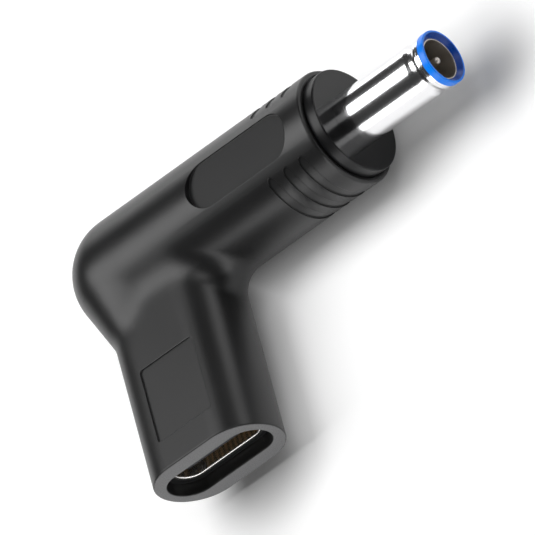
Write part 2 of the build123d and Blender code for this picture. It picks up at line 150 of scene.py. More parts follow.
class ShaderBoard(NodeBoard):
    """A material's node tree."""

    def __init__(self, name: str) -> None:
        """Start an empty material.

        Args:
            name: The material's name.
        """
        self.material = bpy.data.materials.new(name)
        self.material.use_nodes = True
        self.tree = self.material.node_tree
        self.tree.nodes.clear()

    def mix(self, kind: Blend, share: Socket | float, first: object, second: object) -> Socket:
        """Blend two values or two colours.

        Args:
            kind: What is blended.
            share: How much of the second is taken.
            first: The first, as a socket or a constant.
            second: The second, as a socket or a constant.

        Returns:
            The blend's socket.
        """
        node = self.add("ShaderNodeMix", data_type=kind.name)
        *ends, result = kind.value
        for number, value in zip(ends, (share, first, second)):
            self.feed(value, node.inputs[number])
        return node.outputs[result]

    def ramp(
        self,
        value: Socket,
        start: float,
        end: float,
        low: float = 0.0,
        high: float = 1.0,
        curve: str = "LINEAR",
    ) -> Socket:
        """Map a value from one range onto another, held at both ends.

        Args:
            value: The value's socket.
            start: The value that gives the low result.
            end: The value that gives the high result.
            low: The low result.
            high: The high result.
            curve: The node's kind of interpolation.

        Returns:
            The result's socket.
        """
        node = self.add("ShaderNodeMapRange", clamp=True, interpolation_type=curve)
        ends = {"From Min": start, "From Max": end, "To Min": low, "To Max": high}
        for name, number in ends.items():
            node.inputs[name].default_value = number
        self.join(value, node.inputs["Value"])
        return node.outputs["Result"]

    def noise(self, space: Socket, size: float, detail: float) -> Socket:
        """Add a noise pattern.

        Args:
            space: The coordinates that the pattern lies in.
            size: The width of its features in metres.
            detail: How much finer noise is added to it.

        Returns:
            The socket of its value, from 0 to 1.
        """
        node = self.add("ShaderNodeTexNoise")
        node.inputs["Scale"].default_value = 1.0 / size
        node.inputs["Detail"].default_value = detail
        node.inputs["Roughness"].default_value = NOISE_ROUGHNESS
        self.join(space, node.inputs["Vector"])
        return node.outputs["Fac"]

    def beyond(self, place: Socket, side: str, start: float, end: float) -> Socket:
        """Add a mask of what lies beyond a level.

        Args:
            place: The coordinates.
            side: The axis that the level is on, X, Y or Z.
            start: The level where the mask starts, in metres.
            end: The level where it is full.

        Returns:
            The mask's socket, from 0 to 1.
        """
        parts = self.add("ShaderNodeSeparateXYZ")
        self.join(place, parts.inputs[0])
        return self.ramp(parts.outputs[side], start, end)

    def spread(self, value: Socket, low: float, high: float) -> Socket:
        """Map a noise value onto a range.

        Args:
            value: The noise's socket.
            low: The result where the noise is low.
            high: The result where the noise is high.

        Returns:
            The mapped value's socket.
        """
        return self.ramp(value, *NOISE_RANGE, low, high)


@dataclass(frozen=True)
class Finish:
    """A surface finish: its colour, gloss, and the fine texture that moulding, turning or plating leaves."""

    name: str
    colour: Colour
    roughness: float
    metallic: float = 0.0
    index: float = 1.46
    coat: float = 0.0
    specular: float = 0.5
    grain: Grain = Grain.EVEN
    grain_size: float = 0.12 * MM
    grain_height: float = 1.0 * MICRON
    cloud_size: float = 4.0 * MM
    colour_change: float = 0.12
    roughness_change: float = 0.04
    edge_radius: float = 0.0

    def shade(self, factor: float) -> tuple[float, float, float, float]:
        """Return the colour made lighter or darker by a factor."""
        red, green, blue = (min(1.0, part * factor) for part in self.colour)
        return (red, green, blue, 1.0)

    def tint(self, board: ShaderBoard, place: Socket, cloud: Socket) -> Socket:
        """Add the clouded colour.

        Args:
            board: The material's node tree.
            place: The Object coordinates.
            cloud: The broad noise.

        Returns:
            The colour's socket.
        """
        pale, deep = self.shade(1.0 + self.colour_change), self.shade(1.0 - self.colour_change)
        return board.mix(Blend.RGBA, cloud, deep, pale)

    def gloss(self, board: ShaderBoard, place: Socket, noise: Socket) -> Socket:
        """Add the uneven roughness.

        Args:
            board: The material's node tree.
            place: The Object coordinates.
            noise: The noise that the roughness follows.

        Returns:
            The roughness socket.
        """
        low = max(SMOOTHEST, self.roughness - self.roughness_change)
        return board.spread(noise, low, self.roughness + self.roughness_change)

    def soften(self, board: ShaderBoard, place: Socket, edge: bpy.types.Node) -> None:
        """Set how far the edges' shading is rounded.

        Args:
            board: The material's node tree.
            place: The Object coordinates.
            edge: The Bevel node.
        """
        edge.inputs["Radius"].default_value = self.edge_radius

    def material(self) -> bpy.types.Material:
        """Build the finish's material.

        Returns:
            The material, with its colour, roughness and relief from noise on Object coordinates.
        """
        board = ShaderBoard(self.name)
        place = board.add("ShaderNodeTexCoord").outputs["Object"]
        stretch = board.add("ShaderNodeMapping")
        stretch.inputs["Scale"].default_value = self.grain.value
        board.join(place, stretch.inputs["Vector"])
        cloud = board.noise(place, self.cloud_size, 3.0)
        fine = board.noise(stretch.outputs["Vector"], self.grain_size, 2.0)
        both = board.mix(Blend.FLOAT, 0.5, cloud, fine)

        relief = board.add("ShaderNodeBump")
        relief.inputs["Strength"].default_value = 1.0
        relief.inputs["Distance"].default_value = self.grain_height
        board.join(fine, relief.inputs["Height"])
        if self.edge_radius:
            edge = board.add("ShaderNodeBevel", samples=BEVEL_SAMPLES)
            self.soften(board, place, edge)
            board.join(edge.outputs["Normal"], relief.inputs["Normal"])

        surface = board.add("ShaderNodeBsdfPrincipled")
        surface.inputs["Metallic"].default_value = self.metallic
        surface.inputs["IOR"].default_value = self.index
        surface.inputs["Specular IOR Level"].default_value = self.specular
        surface.inputs["Coat Weight"].default_value = self.coat
        surface.inputs["Coat Roughness"].default_value = COAT_ROUGHNESS
        board.join(self.tint(board, place, cloud), surface.inputs["Base Color"])
        board.join(self.gloss(board, place, both), surface.inputs["Roughness"])
        board.join(relief.outputs["Normal"], surface.inputs["Normal"])
        out = board.add("ShaderNodeOutputMaterial")
        board.join(surface.outputs["BSDF"], out.inputs["Surface"])
        return board.material


@dataclass(frozen=True)
class HousingFinish(Finish):
    """The housing's satin plastic, with light painted on the flat end round the mouth as a paler grey, rougher
    there, and softer where the arms meet.
    """

    end_level: float = -18.46 * MM
    end_band: float = 0.03 * MM
    # Painted light: this paler grey on the flat end stands in for the light that face reflects.
    end_painted_light_colour: Colour = (0.15, 0.15, 0.152)
    end_change: float = 0.22
    end_grain: float = 0.1 * MM
    end_roughness: float = 0.6
    meet_centre: Point = (-21.0 * MM, -3.4 * MM, 3.6 * MM)
    meet_core: float = 3.0 * MM
    meet_reach: float = 6.5 * MM
    meet_radius: float = 2.3 * MM

    def end_mask(self, board: ShaderBoard, place: Socket) -> Socket:
        """Return the mask of the flat end."""
        return board.beyond(place, "Y", self.end_level, self.end_level - self.end_band)

    def tint(self, board: ShaderBoard, place: Socket, cloud: Socket) -> Socket:
        """Add the clouded colour, with light painted on the flat end as a paler, grained grey.

        Args:
            board: The material's node tree.
            place: The Object coordinates.
            cloud: The broad noise.

        Returns:
            The colour's socket.
        """
        # Painted light: the flat end gets a paler grey than the rest of the housing.
        deep, pale = (
            tuple(part * factor for part in self.end_painted_light_colour) + (1.0,)
            for factor in (1.0 - self.end_change, 1.0 + self.end_change)
        )
        share = board.spread(board.noise(place, self.end_grain, 2.0), 0.0, 1.0)
        grain = board.mix(Blend.RGBA, share, deep, pale)
        return board.mix(Blend.RGBA, self.end_mask(board, place), super().tint(board, place, cloud), grain)

    def gloss(self, board: ShaderBoard, place: Socket, noise: Socket) -> Socket:
        """Add the uneven roughness, higher on the flat end.

        Args:
            board: The material's node tree.
            place: The Object coordinates.
            noise: The noise that the roughness follows.

        Returns:
            The roughness socket.
        """
        mask = self.end_mask(board, place)
        return board.mix(Blend.FLOAT, mask, super().gloss(board, place, noise), self.end_roughness)

    def soften(self, board: ShaderBoard, place: Socket, edge: bpy.types.Node) -> None:
        """Set how far the shading is rounded, further where the two arms meet.

        Args:
            board: The material's node tree.
            place: The Object coordinates.
            edge: The Bevel node.
        """
        away = board.add("ShaderNodeVectorMath", operation="DISTANCE")
        away.inputs[1].default_value = self.meet_centre
        board.join(place, away.inputs[0])
        bounds = (self.meet_core, self.meet_reach, self.meet_radius, self.edge_radius)
        board.join(board.ramp(away.outputs["Value"], *bounds, "SMOOTHSTEP"), edge.inputs["Radius"])


@dataclass(frozen=True)
class RingFinish(Finish):
    """The tip ring's plastic, azure outside, with shade painted as deep blue in its flared mouth."""

    # Painted shade: the flared mouth is coloured deep blue where the ring's own wall shades it.
    mouth_painted_shade_colour: Colour = (0.0, 0.045, 0.30)
    mouth_shade_start: float = 2.13 * MM
    mouth_shade_end: float = 2.05 * MM

    def tint(self, board: ShaderBoard, place: Socket, cloud: Socket) -> Socket:
        """Add the clouded colour, with shade painted as a deeper blue in the mouth.

        Args:
            board: The material's node tree.
            place: The Object coordinates.
            cloud: The broad noise.

        Returns:
            The colour's socket.
        """
        flat = board.add("ShaderNodeMapping")
        flat.inputs["Scale"].default_value = (0.0, 1.0, 1.0)
        board.join(place, flat.inputs["Vector"])
        out = board.add("ShaderNodeVectorMath", operation="LENGTH")
        board.join(flat.outputs["Vector"], out.inputs[0])
        # Painted shade: inside this radius the colour turns deep blue.
        mask = board.ramp(out.outputs["Value"], self.mouth_shade_start, self.mouth_shade_end)
        return board.mix(Blend.RGBA, mask, super().tint(board, place, cloud), self.mouth_painted_shade_colour + (1.0,))


@dataclass(frozen=True)
class PlugFinish(Finish):
    """The plug body's plastic, with a polished face round the barrel."""

    face_level: float = -0.06 * MM
    face_band: float = 0.04 * MM
    face_roughness: float = 0.17

    def gloss(self, board: ShaderBoard, place: Socket, noise: Socket) -> Socket:
        """Add the uneven roughness, lower on the polished face.

        Args:
            board: The material's node tree.
            place: The Object coordinates.
            noise: The noise that the roughness follows.

        Returns:
            The roughness socket.
        """
        mask = board.beyond(place, "X", self.face_level, self.face_level + self.face_band)
        return board.mix(Blend.FLOAT, mask, super().gloss(board, place, noise), self.face_roughness)


HOUSING_SATIN = HousingFinish(
    "housing_satin",
    (0.0065, 0.0065, 0.0068),
    0.36,
    grain_size=0.16 * MM,
    grain_height=0.9 * MICRON,
    cloud_size=6.0 * MM,
    edge_radius=0.075 * MM,
)
PLUG_SATIN = PlugFinish(
    "plug_satin",
    (0.006, 0.006, 0.0065),
    0.34,
    index=1.42,
    specular=0.36,
    grain_height=0.5 * MICRON,
    edge_radius=0.06 * MM,
)
INNER_MATTE = Finish("inner_matte", (0.05, 0.05, 0.054), 0.6, grain_size=0.3 * MM, grain_height=4 * MICRON)
BARREL_CHROME = Finish(
    "barrel_chrome",
    (0.86, 0.86, 0.87),
    0.16,
    metallic=1.0,
    grain=Grain.TURNED,
    grain_size=0.05 * MM,
    grain_height=0.12 * MICRON,
    colour_change=0.03,
    roughness_change=0.03,
)
SLEEVE_NICKEL = Finish(
    "sleeve_nickel",
    (0.58, 0.54, 0.49),
    0.38,
    metallic=1.0,
    grain=Grain.TURNED,
    grain_size=0.06 * MM,
    grain_height=0.2 * MICRON,
    colour_change=0.05,
)
SHELL_STEEL = Finish(
    "shell_steel",
    (0.86, 0.85, 0.83),
    0.24,
    metallic=1.0,
    grain=Grain.DRAWN,
    grain_size=0.05 * MM,
    grain_height=0.15 * MICRON,
    colour_change=0.05,
    edge_radius=0.06 * MM,
)
CONTACT_GOLD = Finish(
    "contact_gold",
    (0.95, 0.68, 0.38),
    0.48,
    metallic=1.0,
    grain=Grain.DRAWN,
    grain_size=0.04 * MM,
    grain_height=0.2 * MICRON,
    colour_change=0.08,
)
COPPER_STRAND = Finish("copper_strand", (0.72, 0.38, 0.22), 0.3, metallic=1.0, grain=Grain.ROLLED)
SOLDER_TIN = Finish(
    "solder_tin", (0.66, 0.66, 0.68), 0.28, metallic=1.0, grain_size=0.2 * MM, grain_height=3 * MICRON
)
RING_BLUE = RingFinish(
    "ring_blue",
    (0.0, 0.22, 0.95),
    0.3,
    index=1.42,
    grain_size=0.1 * MM,
    grain_height=0.5 * MICRON,
    colour_change=0.06,
    edge_radius=0.04 * MM,
)
HOLDER_BLACK = Finish("holder_black", (0.014, 0.014, 0.015), 0.45, grain_size=0.1 * MM)
TONGUE_BLACK = Finish(
    "tongue_black", (0.012, 0.012, 0.013), 0.42, grain_size=0.08 * MM, edge_radius=0.03 * MM
)
CHIP_BLACK = Finish("chip_black", (0.02, 0.02, 0.021), 0.55, grain_size=0.06 * MM, grain_height=1.5 * MICRON)
BOARD_GREEN = Finish(
    "board_green", (0.01, 0.13, 0.045), 0.3, coat=0.3, grain_size=0.4 * MM, grain_height=2 * MICRON
)
CERAMIC_TAN = Finish("ceramic_tan", (0.42, 0.30, 0.18), 0.5, grain_size=0.08 * MM)
JACKET_RED = Finish("jacket_red", (0.5, 0.012, 0.012), 0.42, grain_size=0.15 * MM)
JACKET_BLACK = Finish("jacket_black", (0.015, 0.015, 0.016), 0.42, grain_size=0.15 * MM)
JACKET_WHITE = Finish("jacket_white", (0.72, 0.72, 0.69), 0.42, grain_size=0.15 * MM, colour_change=0.04)


class Dresser:
    """Puts finishes on pieces, with one material for each finish."""

    def __init__(self) -> None:
        """Start with no material made."""
        self.made: dict[str, bpy.types.Material] = {}

    def material(self, finish: Finish) -> bpy.types.Material:
        """Return a finish's material, made on first use.

        Args:
            finish: The finish.

        Returns:
            Its material.
        """
        if finish.name not in self.made:
            self.made[finish.name] = finish.material()
        return self.made[finish.name]

    def dress(self, piece: bpy.types.Object, finish: Finish) -> None:
        """Give a piece one finish all over.

        Args:
            piece: The object to dress.
            finish: Its finish.
        """
        slots = piece.data.materials
        if len(slots) == 0:
            slots.append(self.material(finish))
        for number in range(len(slots)):
            slots[number] = self.material(finish)
        log.info("dressed %s in %s", piece.name, finish.name)

    def dress_nodes(self, finishes: dict[str, Finish]) -> None:
        """Dress CAD nodes that are carried over as they are.

        Args:
            finishes: The finish of each node, by the node's name.
        """
        for node, finish in finishes.items():
            self.dress(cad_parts[node], finish)


class TreeBoard(NodeBoard):
    """A geometry node tree with named inputs, made as a modifier on a carrier object."""

    tolerance = 0.1

    def __init__(self, name: str) -> None:
        """Start a tree with a geometry output.

        Args:
            name: The tree's name.
        """
        self.tree = bpy.data.node_groups.new(name, "GeometryNodeTree")
        self.tree.interface.new_socket("Geometry", in_out="OUTPUT", socket_type="NodeSocketGeometry")
        self.start = self.tree.nodes.new("NodeGroupInput")
        self.end = self.tree.nodes.new("NodeGroupOutput")
        self.values: dict[str, object] = {}

    def size(self, name: str, value: object, kind: str) -> Socket:
        """Add a named input and remember its value.

        Args:
            name: The input's name.
            value: The value that the modifier gets.
            kind: The socket type's short name, such as Float.

        Returns:
            The socket inside the tree.
        """
        item = self.tree.interface.new_socket(name, in_out="INPUT", socket_type=f"NodeSocket{kind}")
        self.values[item.identifier] = value
        return self.start.outputs[name]

    def equal(self, value: Socket, wanted: float) -> Socket:
        """Compare a value with a wanted one.

        Args:
            value: The value's socket.
            wanted: The wanted value.

        Returns:
            The socket that is true where they agree.
        """
        node = self.add("FunctionNodeCompare", data_type="FLOAT", operation="EQUAL")
        node.inputs[1].default_value = wanted
        node.inputs["Epsilon"].default_value = self.tolerance
        self.join(value, node.inputs[0])
        return node.outputs[0]

    def finish(self, geometry: Socket, material: bpy.types.Material) -> None:
        """End the tree with real geometry and its material.

        Args:
            geometry: The socket of the tree's geometry.
            material: The material to set.
        """
        real = self.add("GeometryNodeRealizeInstances")
        paint = self.add("GeometryNodeSetMaterial")
        paint.inputs["Material"].default_value = material
        self.join(geometry, real.inputs["Geometry"])
        self.join(real.outputs["Geometry"], paint.inputs["Geometry"])
        self.join(paint.outputs["Geometry"], self.end.inputs["Geometry"])

    def bake(self, name: str, smooth_angle: float) -> bpy.types.Object:
        """Turn the tree's result into a plain mesh object.

        Args:
            name: The new object's name.
            smooth_angle: The angle in degrees over which an edge stays sharp.

        Returns:
            The object, at the origin with its place in its mesh.
        """
        carrier = bpy.data.objects.new(f"{name}_carrier", bpy.data.meshes.new(f"{name}_carrier"))
        bpy.context.scene.collection.objects.link(carrier)
        modifier = carrier.modifiers.new(name, "NODES")
        modifier.node_group = self.tree
        for identifier, value in self.values.items():
            modifier[identifier] = value
        bpy.context.view_layer.update()
        depsgraph = bpy.context.evaluated_depsgraph_get()
        mesh = bpy.data.meshes.new_from_object(carrier.evaluated_get(depsgraph), depsgraph=depsgraph)
        carrier.modifiers.remove(modifier)
        bpy.data.objects.remove(carrier)
        mesh.name = name
        MeshTools.tidy(mesh, smooth_angle)
        piece = bpy.data.objects.new(name, mesh)
        bpy.context.scene.collection.objects.link(piece)
        return piece


class MeshTools:
    """Small mesh jobs that several pieces share."""

    @staticmethod
    def tidy(mesh: bpy.types.Mesh, smooth_angle: float) -> None:
        """Merge doubles, point the faces outwards and set smooth shading with sharp edges.

        Args:
            mesh: The mesh to change.
            smooth_angle: The angle in degrees over which an edge stays sharp.
        """
        form = bmesh.new()
        form.from_mesh(mesh)
        bmesh.ops.remove_doubles(form, verts=form.verts, dist=MERGE_DISTANCE)
        bmesh.ops.recalc_face_normals(form, faces=form.faces)
        form.to_mesh(mesh)
        form.free()
        mesh.shade_smooth()
        mesh.set_sharp_from_angle(angle=math.radians(smooth_angle))
        mesh.update()

    @staticmethod
    def outline(name: str, points: list[tuple[float, float]]) -> bpy.types.Object:
        """Make a closed curve from an outline in millimetres.

        Args:
            name: The curve object's name.
            points: The outline's corners as (along, out).

        Returns:
            The curve object, not linked to the scene.
        """
        curve = bpy.data.curves.new(name, "CURVE")
        curve.dimensions = "3D"
        line = curve.splines.new("POLY")
        line.points.add(len(points) - 1)
        for point, (along, out) in zip(line.points, points):
            point.co = (along * MM, out * MM, 0.0, 1.0)
        line.use_cyclic_u = True
        return bpy.data.objects.new(name, curve)


@dataclass
class TurnedOutline:
    """A closed outline in millimetres, as (along the plug, out from its axis), with rounded corners."""

    corners: list[tuple[float, float, float]]
    steps: int = 5
    longest_share: float = 0.45

    def points(self) -> list[tuple[float, float]]:
        """Return the outline with each corner rounded to its own radius.

        Returns:
            The points in order, in millimetres.
        """
        made: list[tuple[float, float]] = []
        count = len(self.corners)
        for number, (along, out, radius) in enumerate(self.corners):
            here = Vector((along, out))
            if radius <= 0:
                made.append((along, out))
                continue
            before = Vector(self.corners[number - 1][:2]) - here
            after = Vector(self.corners[(number + 1) % count][:2]) - here
            angle = before.angle(after)
            reach = radius / math.tan(angle / 2)
            reach = min(reach, before.length * self.longest_share, after.length * self.longest_share)
            start, end = here + before.normalized() * reach, here + after.normalized() * reach
            for step in range(self.steps + 1):
                share = step / self.steps
                first, second = start.lerp(here, share), here.lerp(end, share)
                point = first.lerp(second, share)
                made.append((point.x, point.y))
        return made


@dataclass
class TurnedPiece:
    """A piece turned about the plug's axis, made by Geometry Nodes from its outline."""

    name: str
    node: str
    outline: TurnedOutline
    finish: Finish
    slot: str
    segments: int = 144
    smooth_angle: float = 35.0

    def build(self, dresser: Dresser) -> bpy.types.Object:
        """Turn the outline and put the piece in its CAD node's place.

        Args:
            dresser: The keeper of the materials.

        Returns:
            The finished piece.
        """
        points = self.outline.points()
        source = MeshTools.outline(f"{self.name}_outline", points)
        board = TreeBoard(f"{self.name}_turning")
        segments = board.size("Segments", self.segments, "Int")
        profile = board.size("Outline", source, "Object")
        count = board.size("Outline points", len(points), "Int")

        info = board.add("GeometryNodeObjectInfo", transform_space="ORIGINAL")
        board.join(profile, info.inputs["Object"])
        edge = board.add("GeometryNodeCurveToMesh")
        board.join(info.outputs["Geometry"], edge.inputs["Curve"])

        grid = board.add("GeometryNodeMeshGrid")
        rows = board.maths("ADD", count, 1.0)
        board.join(board.maths("ADD", segments, 1.0), grid.inputs["Vertices X"])
        board.join(rows, grid.inputs["Vertices Y"])
        index = board.add("GeometryNodeInputIndex").outputs[0]
        turn = board.maths("FLOOR", board.maths("DIVIDE", index, rows))
        place = board.maths("MODULO", board.maths("MODULO", index, rows), count)

        sample = board.add("GeometryNodeSampleIndex", data_type="FLOAT_VECTOR", domain="POINT")
        board.join(edge.outputs["Mesh"], sample.inputs["Geometry"])
        board.join(board.add("GeometryNodeInputPosition").outputs[0], sample.inputs["Value"])
        board.join(place, sample.inputs["Index"])
        parts = board.add("ShaderNodeSeparateXYZ")
        board.join(sample.outputs["Value"], parts.inputs[0])

        angle = board.maths("MULTIPLY", board.maths("DIVIDE", turn, segments), math.tau)
        point = board.add("ShaderNodeCombineXYZ")
        board.join(parts.outputs["X"], point.inputs["X"])
        for operation, side in (("COSINE", "Y"), ("SINE", "Z")):
            wave = board.maths(operation, angle)
            board.join(board.maths("MULTIPLY", wave, parts.outputs["Y"]), point.inputs[side])
        move = board.add("GeometryNodeSetPosition")
        board.join(grid.outputs["Mesh"], move.inputs["Geometry"])
        board.join(point.outputs[0], move.inputs["Position"])
        board.finish(move.outputs["Geometry"], dresser.material(self.finish))
        piece = board.bake(self.name, self.smooth_angle)
        bpy.data.objects.remove(source)
        return place_piece(piece, self.node)


def place_piece(piece: bpy.types.Object, node: str) -> bpy.types.Object:
    """Put a piece in the place of a CAD node.

    Args:
        piece: The finished piece.
        node: The CAD node that it stands for.

    Returns:
        The same piece.
    """
    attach(piece, BODY)
    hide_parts(node)
    log.info("built %s with %d faces", piece.name, len(piece.data.polygons))
    return piece


@dataclass
class BarrelPlug:
    """The barrel plug: sleeve, blue-rimmed tube, inner sleeve, pin, its holder and the plastic body."""

    barrel_radius: float = 2.25
    root_radius: float = 2.45
    bore_radius: float = 1.97
    root_back: float = -5.2
    root_front: float = -0.1
    neck_start: float = 7.6
    neck_slope: float = 0.35
    neck_length: float = 0.35
    neck_radius: float = 2.09
    line_start: float = 8.85
    line_width: float = 0.08
    line_depth: float = 0.06
    ring_back: float = 9.1
    ring_front: float = 9.7
    ring_radius: float = 2.27
    ring_rim_radius: float = 2.07
    ring_bore_radius: float = 1.8
    tube_radius: float = 1.95
    tube_bore_radius: float = 1.75
    tube_back: float = -6.6
    tube_seat: float = 9.32
    flange_back: float = -5.7
    flange_radius: float = 2.9
    sleeve_back: float = -7.2
    sleeve_front: float = 9.3
    sleeve_radius: float = 1.73
    sleeve_bore_radius: float = 1.49
    sleeve_mouth_radius: float = 1.65
    flare_start: float = 4.0
    tab_middle: float = 19.8
    tab_angle: float = 80.0
    tab_steps: int = 16

    def sleeve_outline(self) -> TurnedOutline:
        """Return the outline of the bright barrel, its neck, its fine line and its hidden root.

        Returns:
            The closed outline.
        """
        neck_bottom = self.neck_start + self.neck_slope
        neck_top = neck_bottom + self.neck_length
        neck_end = neck_top + self.neck_slope
        line_middle = self.line_start + self.line_width / 2
        return TurnedOutline(
            [
                (self.root_back, self.root_radius, 0.0),
                (self.root_front, self.root_radius, 0.0),
                (self.root_front, self.barrel_radius, 0.0),
                (self.neck_start, self.barrel_radius, 0.3),
                (neck_bottom, self.neck_radius, 0.3),
                (neck_top, self.neck_radius, 0.3),
                (neck_end, self.barrel_radius, 0.3),
                (self.line_start, self.barrel_radius, 0.0),
                (line_middle, self.barrel_radius - self.line_depth, 0.0),
                (self.line_start + self.line_width, self.barrel_radius, 0.0),
                (self.ring_back, self.barrel_radius, 0.02),
                (self.ring_back, self.bore_radius, 0.0),
                (self.flange_back, self.bore_radius, 0.0),
                (self.flange_back, self.flange_radius, 0.05),
                (self.root_back, self.flange_radius, 0.05),
            ]
        )

    def ring_outline(self) -> TurnedOutline:
        """Return the outline of the tube whose flared rim is the blue ring.

        Returns:
            The closed outline.
        """
        return TurnedOutline(
            [
                (self.tube_back, self.tube_radius, 0.0),
                (self.ring_back, self.tube_radius, 0.0),
                (self.ring_back, self.ring_radius, 0.03),
                (self.ring_front, self.ring_radius, 0.1),
                (self.ring_front, self.ring_rim_radius, 0.03),
                (self.tube_seat, self.ring_bore_radius, 0.0),
                (self.tube_seat, self.tube_bore_radius, 0.0),
                (self.tube_back, self.tube_bore_radius, 0.0),
            ]
        )

    def bore_outline(self) -> TurnedOutline:
        """Return the outline of the inner sleeve, whose wall thins towards its mouth.

        Returns:
            The closed outline.
        """
        return TurnedOutline(
            [
                (self.sleeve_back, self.sleeve_bore_radius, 0.0),
                (self.sleeve_back, self.sleeve_radius, 0.0),
                (self.sleeve_front, self.sleeve_radius, 0.0),
                (self.sleeve_front, self.sleeve_mouth_radius, 0.02),
                (self.flare_start, self.sleeve_bore_radius, 0.0),
            ]
        )

    def tab(self, piece: bpy.types.Object) -> None:
        """Add the inner sleeve's part-round tab for the positive wire to its mesh.

        Args:
            piece: The turned sleeve.
        """
        low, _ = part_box("inner_sleeve")
        form = bmesh.new()
        form.from_mesh(piece.data)
        rows = []
        for step in range(self.tab_steps + 1):
            angle = math.radians(self.tab_middle + self.tab_angle * (step / self.tab_steps - 0.5))
            ring = []
            for along, out in (
                (self.sleeve_back * MM, self.sleeve_bore_radius),
                (self.sleeve_back * MM, self.sleeve_radius),
                (low.x, self.sleeve_radius),
                (low.x, self.sleeve_bore_radius),
            ):
                point = (along, out * MM * math.cos(angle), out * MM * math.sin(angle))
                ring.append(form.verts.new(point))
            rows.append(ring)
        made = [form.faces.new(rows[0]), form.faces.new(list(reversed(rows[-1])))]
        for ring, after in zip(rows, rows[1:]):
            for number in range(4):
                follow = (number + 1) % 4
                made.append(form.faces.new((ring[number], after[number], after[follow], ring[follow])))
        bmesh.ops.recalc_face_normals(form, faces=made)
        form.to_mesh(piece.data)
        form.free()
        piece.data.update()

    def build(self, dresser: Dresser) -> None:
        """Build and dress the plug's pieces.

        Args:
            dresser: The keeper of the materials.
        """
        for piece in (
            TurnedPiece("barrel", "outer_sleeve", self.sleeve_outline(), BARREL_CHROME, "bright_plating"),
            TurnedPiece("tip_tube", "tip_insulator", self.ring_outline(), RING_BLUE, "blue_plastic"),
        ):
            piece.build(dresser)
        bore = self.bore_outline()
        sleeve = TurnedPiece("bore_sleeve", "inner_sleeve", bore, SLEEVE_NICKEL, "bright_plating")
        self.tab(sleeve.build(dresser))
        dresser.dress_nodes(
            {
                "plug_body": PLUG_SATIN,
                "ground_lug": SLEEVE_NICKEL,
                "pin_holder": HOLDER_BLACK,
                "centre_pin": SLEEVE_NICKEL,
            }
        )


